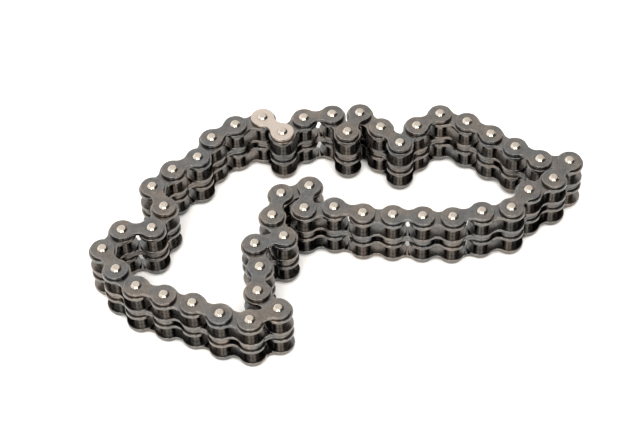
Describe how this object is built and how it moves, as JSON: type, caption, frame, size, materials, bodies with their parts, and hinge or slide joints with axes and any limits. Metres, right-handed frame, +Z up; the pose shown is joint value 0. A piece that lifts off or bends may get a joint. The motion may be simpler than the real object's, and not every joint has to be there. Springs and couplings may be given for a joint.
{
  "type": "roller chain",
  "caption": "Endless double-strand bush chain with waisted plates and a plated connecting link, lying folded on its side; drives two sprockets side by side.",
  "frame": {"origin": "under the middle of the loop's bounding box, on the surface that the chain lies on", "axes": "+Z up along every pin, +X along the loop's long side, to the right when seen with the connecting link at the back left, +Y towards the back"},
  "size_m": [0.106, 0.0626, 0.0137],
  "materials": {
    "blackened_steel": "blackened, oiled, satin",
    "pin_steel": "hardened, ground, bright ends",
    "bush_steel": "hardened, polished, dark",
    "bright_plate": "nickel plated, satin"
  },
  "bodies": {
    "connecting_link": {"connecting_bottom_plate": "blackened_steel", "connecting_lower_middle_plate": "blackened_steel", "connecting_upper_middle_plate": "blackened_steel", "connecting_top_plate": "bright_plate", "connecting_slender_pin": "pin_steel", "connecting_plain_pin": "pin_steel"},
    "inner_link_02": {"inner_link_02_lower_plates": "blackened_steel", "inner_link_02_lower_bushes": "bush_steel", "inner_link_02_upper_plates": "blackened_steel", "inner_link_02_upper_bushes": "bush_steel"},
    "outer_link_03": {"outer_link_03": "blackened_steel"},
    "inner_link_04": {"inner_link_04": "blackened_steel"},
    "outer_link_05": {"outer_link_05": "blackened_steel"},
    "inner_link_06": {"inner_link_06": "blackened_steel"},
    "outer_link_07": {"outer_link_07": "blackened_steel"},
    "inner_link_08": {"inner_link_08": "blackened_steel"},
    "outer_link_09": {"outer_link_09": "blackened_steel"},
    "inner_link_10": {"inner_link_10": "blackened_steel"},
    "outer_link_11": {"outer_link_11": "blackened_steel"},
    "inner_link_12": {"inner_link_12": "blackened_steel"},
    "outer_link_13": {"outer_link_13": "blackened_steel"},
    "inner_link_14": {"inner_link_14": "blackened_steel"},
    "outer_link_15": {"outer_link_15": "blackened_steel"},
    "inner_link_16": {"inner_link_16": "blackened_steel"},
    "outer_link_17": {"outer_link_17": "blackened_steel"},
    "inner_link_18": {"inner_link_18": "blackened_steel"},
    "outer_link_19": {"outer_link_19": "blackened_steel"},
    "inner_link_20": {"inner_link_20": "blackened_steel"},
    "outer_link_21": {"outer_link_21": "blackened_steel"},
    "inner_link_22": {"inner_link_22": "blackened_steel"},
    "outer_link_23": {"outer_link_23": "blackened_steel"},
    "inner_link_24": {"inner_link_24": "blackened_steel"},
    "outer_link_25": {"outer_link_25": "blackened_steel"},
    "inner_link_26": {"inner_link_26": "blackened_steel"},
    "outer_link_27": {"outer_link_27": "blackened_steel"},
    "inner_link_28": {"inner_link_28": "blackened_steel"},
    "outer_link_29": {"outer_link_29": "blackened_steel"},
    "inner_link_30": {"inner_link_30": "blackened_steel"},
    "outer_link_31": {"outer_link_31": "blackened_steel"},
    "inner_link_32": {"inner_link_32": "blackened_steel"},
    "outer_link_33": {"outer_link_33": "blackened_steel"},
    "inner_link_34": {"inner_link_34": "blackened_steel"},
    "outer_link_35": {"outer_link_35": "blackened_steel"},
    "inner_link_36": {"inner_link_36": "blackened_steel"},
    "outer_link_37": {"outer_link_37": "blackened_steel"},
    "inner_link_38": {"inner_link_38": "blackened_steel"},
    "outer_link_39": {"outer_link_39": "blackened_steel"},
    "inner_link_40": {"inner_link_40": "blackened_steel"},
    "outer_link_41": {"outer_link_41": "blackened_steel"},
    "inner_link_42": {"inner_link_42": "blackened_steel"},
    "outer_link_43": {"outer_link_43": "blackened_steel"},
    "inner_link_44": {"inner_link_44": "blackened_steel"},
    "outer_link_45": {"outer_link_45": "blackened_steel"},
    "inner_link_46": {"inner_link_46": "blackened_steel"},
    "outer_link_47": {"outer_link_47": "blackened_steel"},
    "inner_link_48": {"inner_link_48_lower_plates": "blackened_steel", "inner_link_48_lower_bushes": "bush_steel", "inner_link_48_upper_plates": "blackened_steel", "inner_link_48_upper_bushes": "bush_steel"}
  },
  "joints": [
    {"name": "pivot_43", "type": "hinge", "parent": "inner_link_42", "child": "outer_link_43", "pos_m": [-0.03748, 0.00289, 0], "axis": [0, 0, 1], "range_deg": [-29, 29]},
    {"name": "pivot_03", "type": "hinge", "parent": "outer_link_03", "child": "inner_link_02", "pos_m": [-0.00715, 0.02741, 0], "axis": [0, 0, -1], "range_deg": [-24, 26]},
    {"name": "pivot_05", "type": "hinge", "parent": "outer_link_05", "child": "inner_link_04", "pos_m": [0.00232, 0.02269, 0], "axis": [0, 0, -1], "range_deg": [-33, 0]},
    {"name": "pivot_07", "type": "hinge", "parent": "outer_link_07", "child": "inner_link_06", "pos_m": [0.00972, 0.02372, 0], "axis": [0, 0, -1], "range_deg": [-20, 36]},
    {"name": "pivot_09", "type": "hinge", "parent": "outer_link_09", "child": "inner_link_08", "pos_m": [0.01771, 0.02372, 0], "axis": [0, 0, -1], "range_deg": [-30, 28]},
    {"name": "pivot_11", "type": "hinge", "parent": "outer_link_11", "child": "inner_link_10", "pos_m": [0.02885, 0.02441, 0], "axis": [0, 0, -1], "range_deg": [-22, 21]},
    {"name": "pivot_13", "type": "hinge", "parent": "outer_link_13", "child": "inner_link_12", "pos_m": [0.03872, 0.01641, 0], "axis": [0, 0, -1], "range_deg": [-33, 32]},
    {"name": "pivot_15", "type": "hinge", "parent": "outer_link_15", "child": "inner_link_14", "pos_m": [0.05002, 0.01173, 0], "axis": [0, 0, -1], "range_deg": [0, 15]},
    {"name": "pivot_28", "type": "hinge", "parent": "outer_link_27", "child": "inner_link_28", "pos_m": [-0.01444, -0.00067, 0], "axis": [0, 0, 1], "range_deg": [-38, 3]},
    {"name": "pivot_29", "type": "hinge", "parent": "inner_link_28", "child": "outer_link_29", "pos_m": [-0.01206, -0.00656, 0], "axis": [0, 0, 1], "range_deg": [-26, 25]},
    {"name": "pivot_33", "type": "hinge", "parent": "inner_link_32", "child": "outer_link_33", "pos_m": [-0.01345, -0.02571, 0], "axis": [0, 0, 1], "range_deg": [-15, 36]},
    {"name": "pivot_37", "type": "hinge", "parent": "inner_link_36", "child": "outer_link_37", "pos_m": [-0.03681, -0.02108, 0], "axis": [0, 0, 1], "range_deg": [-20, 20]},
    {"name": "pivot_02", "type": "hinge", "parent": "inner_link_02", "child": "connecting_link", "pos_m": [-0.01202, 0.02333, 0], "axis": [0, 0, -1], "range_deg": [-28.21, 28.21]},
    {"name": "pivot_04", "type": "hinge", "parent": "inner_link_04", "child": "outer_link_03", "pos_m": [-0.00085, 0.02818, 0], "axis": [0, 0, -1], "range_deg": [-24.71, 22.81]},
    {"name": "pivot_06", "type": "hinge", "parent": "inner_link_06", "child": "outer_link_05", "pos_m": [0.0053, 0.02829, 0], "axis": [0, 0, -1], "range_deg": [0, 31.91]},
    {"name": "pivot_08", "type": "hinge", "parent": "inner_link_08", "child": "outer_link_07", "pos_m": [0.01371, 0.01879, 0], "axis": [0, 0, -1], "range_deg": [-35.44, 19.69]},
    {"name": "pivot_10", "type": "hinge", "parent": "inner_link_10", "child": "outer_link_09", "pos_m": [0.02309, 0.02709, 0], "axis": [0, 0, -1], "range_deg": [-25.86, 27.71]},
    {"name": "pivot_12", "type": "hinge", "parent": "inner_link_12", "child": "outer_link_11", "pos_m": [0.03378, 0.02041, 0], "axis": [0, 0, -1], "range_deg": [-22.65, 23.72]},
    {"name": "pivot_14", "type": "hinge", "parent": "inner_link_14", "child": "outer_link_13", "pos_m": [0.04372, 0.0125, 0], "axis": [0, 0, -1], "range_deg": [-32.54, 33.56]},
    {"name": "pivot_16", "type": "hinge", "parent": "inner_link_16", "child": "outer_link_15", "pos_m": [0.04603, 0.0068, 0], "axis": [0, 0, -1], "range_deg": [-15.9, 0]},
    {"name": "pivot_17", "type": "hinge", "parent": "outer_link_17", "child": "inner_link_16", "pos_m": [0.04042, 0.00381, 0], "axis": [0, 0, -1], "range_deg": [-31.86, 0]},
    {"name": "pivot_18", "type": "hinge", "parent": "inner_link_18", "child": "outer_link_17", "pos_m": [0.03626, -0.00098, 0], "axis": [0, 0, -1], "range_deg": [0, 32.97]},
    {"name": "pivot_19", "type": "hinge", "parent": "outer_link_19", "child": "inner_link_18", "pos_m": [0.02995, -0.00175, 0], "axis": [0, 0, -1], "range_deg": [-26.16, 24.42]},
    {"name": "pivot_20", "type": "hinge", "parent": "inner_link_20", "child": "outer_link_19", "pos_m": [0.02372, -0.00296, 0], "axis": [0, 0, -1], "range_deg": [-26.57, 28.47]},
    {"name": "pivot_21", "type": "hinge", "parent": "outer_link_21", "child": "inner_link_20", "pos_m": [0.01739, -0.00241, 0], "axis": [0, 0, -1], "range_deg": [-26.24, 28.42]},
    {"name": "pivot_22", "type": "hinge", "parent": "inner_link_22", "child": "outer_link_21", "pos_m": [0.01108, -0.00175, 0], "axis": [0, 0, -1], "range_deg": [-29.73, 27.44]},
    {"name": "pivot_23", "type": "hinge", "parent": "outer_link_23", "child": "inner_link_22", "pos_m": [0.00478, -0.00097, 0], "axis": [0, 0, -1], "range_deg": [-27.91, 26.64]},
    {"name": "pivot_24", "type": "hinge", "parent": "inner_link_24", "child": "outer_link_23", "pos_m": [-0.00126, 0.00099, 0], "axis": [0, 0, -1], "range_deg": [-25.01, 26.2]},
    {"name": "pivot_25", "type": "hinge", "parent": "inner_link_24", "child": "outer_link_25", "pos_m": [-0.00761, 0.00099, 0], "axis": [0, 0, 1], "range_deg": [-2.8, 35.27]},
    {"name": "pivot_26", "type": "hinge", "parent": "outer_link_25", "child": "inner_link_26", "pos_m": [-0.0064, 0.00722, 0], "axis": [0, 0, 1], "range_deg": [-40.51, 3.21]},
    {"name": "pivot_27", "type": "hinge", "parent": "inner_link_26", "child": "outer_link_27", "pos_m": [-0.01247, 0.00537, 0], "axis": [0, 0, 1], "range_deg": [-3.43, 43.26]},
    {"name": "pivot_30", "type": "hinge", "parent": "outer_link_29", "child": "inner_link_30", "pos_m": [-0.01816, -0.00831, 0], "axis": [0, 0, 1], "range_deg": [-26.8, 27.87]},
    {"name": "pivot_31", "type": "hinge", "parent": "inner_link_30", "child": "outer_link_31", "pos_m": [-0.01717, -0.01458, 0], "axis": [0, 0, 1], "range_deg": [-7.82, 0]},
    {"name": "pivot_32", "type": "hinge", "parent": "outer_link_31", "child": "inner_link_32", "pos_m": [-0.01761, -0.02092, 0], "axis": [0, 0, 1], "range_deg": [0, 8.71]},
    {"name": "pivot_34", "type": "hinge", "parent": "outer_link_33", "child": "inner_link_34", "pos_m": [-0.01925, -0.02829, 0], "axis": [0, 0, 1], "range_deg": [-36.74, 15.32]},
    {"name": "pivot_35", "type": "hinge", "parent": "inner_link_34", "child": "outer_link_35", "pos_m": [-0.02532, -0.02644, 0], "axis": [0, 0, 1], "range_deg": [-36.72, 35.61]},
    {"name": "pivot_36", "type": "hinge", "parent": "outer_link_35", "child": "inner_link_36", "pos_m": [-0.03093, -0.02345, 0], "axis": [0, 0, 1], "range_deg": [-35.08, 36.18]},
    {"name": "pivot_38", "type": "hinge", "parent": "outer_link_37", "child": "inner_link_38", "pos_m": [-0.04261, -0.01849, 0], "axis": [0, 0, 1], "range_deg": [-23.63, 23.63]},
    {"name": "pivot_39", "type": "hinge", "parent": "inner_link_38", "child": "outer_link_39", "pos_m": [-0.04695, -0.01385, 0], "axis": [0, 0, 1], "range_deg": [-19.35, 34.81]},
    {"name": "pivot_40", "type": "hinge", "parent": "outer_link_39", "child": "inner_link_40", "pos_m": [-0.05002, -0.0083, 0], "axis": [0, 0, 1], "range_deg": [-35.39, 19.67]},
    {"name": "pivot_41", "type": "hinge", "parent": "inner_link_40", "child": "outer_link_41", "pos_m": [-0.0462, -0.00322, 0], "axis": [0, 0, 1], "range_deg": [-19.87, 19.87]},
    {"name": "pivot_42", "type": "hinge", "parent": "outer_link_41", "child": "inner_link_42", "pos_m": [-0.03986, -0.003, 0], "axis": [0, 0, 1], "range_deg": [-16.25, 16.25]},
    {"name": "pivot_44", "type": "hinge", "parent": "outer_link_43", "child": "inner_link_44", "pos_m": [-0.04016, 0.00864, 0], "axis": [0, 0, 1], "range_deg": [-30.87, 30.87]},
    {"name": "pivot_45", "type": "hinge", "parent": "inner_link_44", "child": "outer_link_45", "pos_m": [-0.03591, 0.01336, 0], "axis": [0, 0, 1], "range_deg": [-15.54, 37.29]},
    {"name": "pivot_46", "type": "hinge", "parent": "outer_link_45", "child": "inner_link_46", "pos_m": [-0.03053, 0.01672, 0], "axis": [0, 0, 1], "range_deg": [-36.57, 15.24]},
    {"name": "pivot_47", "type": "hinge", "parent": "inner_link_46", "child": "outer_link_47", "pos_m": [-0.02755, 0.02233, 0], "axis": [0, 0, 1], "range_deg": [-29.35, 28.22]},
    {"name": "pivot_48", "type": "hinge", "parent": "outer_link_47", "child": "inner_link_48", "pos_m": [-0.0224, 0.02606, 0], "axis": [0, 0, 1], "range_deg": [-26.43, 27.49]}
  ],
  "couplings": [
    {"joint": "pivot_02", "follows": "pivot_43", "ratio": -0.97227},
    {"joint": "pivot_44", "follows": "pivot_43", "ratio": -1.0641},
    {"joint": "pivot_04", "follows": "pivot_03", "ratio": -0.94992},
    {"joint": "pivot_21", "follows": "pivot_03", "ratio": 1.0926},
    {"joint": "pivot_22", "follows": "pivot_03", "ratio": -1.1427},
    {"joint": "pivot_06", "follows": "pivot_05", "ratio": -0.96644},
    {"joint": "pivot_17", "follows": "pivot_05", "ratio": 0.96494},
    {"joint": "pivot_18", "follows": "pivot_05", "ratio": -0.9985},
    {"joint": "pivot_08", "follows": "pivot_07", "ratio": -0.98399},
    {"joint": "pivot_39", "follows": "pivot_07", "ratio": 0.96663},
    {"joint": "pivot_40", "follows": "pivot_07", "ratio": -0.98264},
    {"joint": "pivot_10", "follows": "pivot_09", "ratio": -0.92317},
    {"joint": "pivot_19", "follows": "pivot_09", "ratio": 0.87164},
    {"joint": "pivot_20", "follows": "pivot_09", "ratio": -0.94847},
    {"joint": "pivot_12", "follows": "pivot_11", "ratio": -1.0777},
    {"joint": "pivot_23", "follows": "pivot_11", "ratio": 1.2679},
    {"joint": "pivot_24", "follows": "pivot_11", "ratio": -1.1902},
    {"joint": "pivot_14", "follows": "pivot_13", "ratio": -1.0165},
    {"joint": "pivot_35", "follows": "pivot_13", "ratio": 1.1123},
    {"joint": "pivot_36", "follows": "pivot_13", "ratio": -1.0958},
    {"joint": "pivot_16", "follows": "pivot_15", "ratio": -1.0592},
    {"joint": "pivot_31", "follows": "pivot_15", "ratio": -0.52017},
    {"joint": "pivot_32", "follows": "pivot_15", "ratio": 0.57934},
    {"joint": "pivot_25", "follows": "pivot_28", "ratio": -0.92775},
    {"joint": "pivot_26", "follows": "pivot_28", "ratio": 1.0658},
    {"joint": "pivot_27", "follows": "pivot_28", "ratio": -1.138},
    {"joint": "pivot_30", "follows": "pivot_29", "ratio": -1.0714},
    {"joint": "pivot_47", "follows": "pivot_29", "ratio": 1.1281},
    {"joint": "pivot_48", "follows": "pivot_29", "ratio": -1.0568},
    {"joint": "pivot_34", "follows": "pivot_33", "ratio": -1.02},
    {"joint": "pivot_45", "follows": "pivot_33", "ratio": 1.0353},
    {"joint": "pivot_46", "follows": "pivot_33", "ratio": -1.0153},
    {"joint": "pivot_38", "follows": "pivot_37", "ratio": -1.1809},
    {"joint": "pivot_41", "follows": "pivot_37", "ratio": 0.99275},
    {"joint": "pivot_42", "follows": "pivot_37", "ratio": -0.81182}
  ]
}
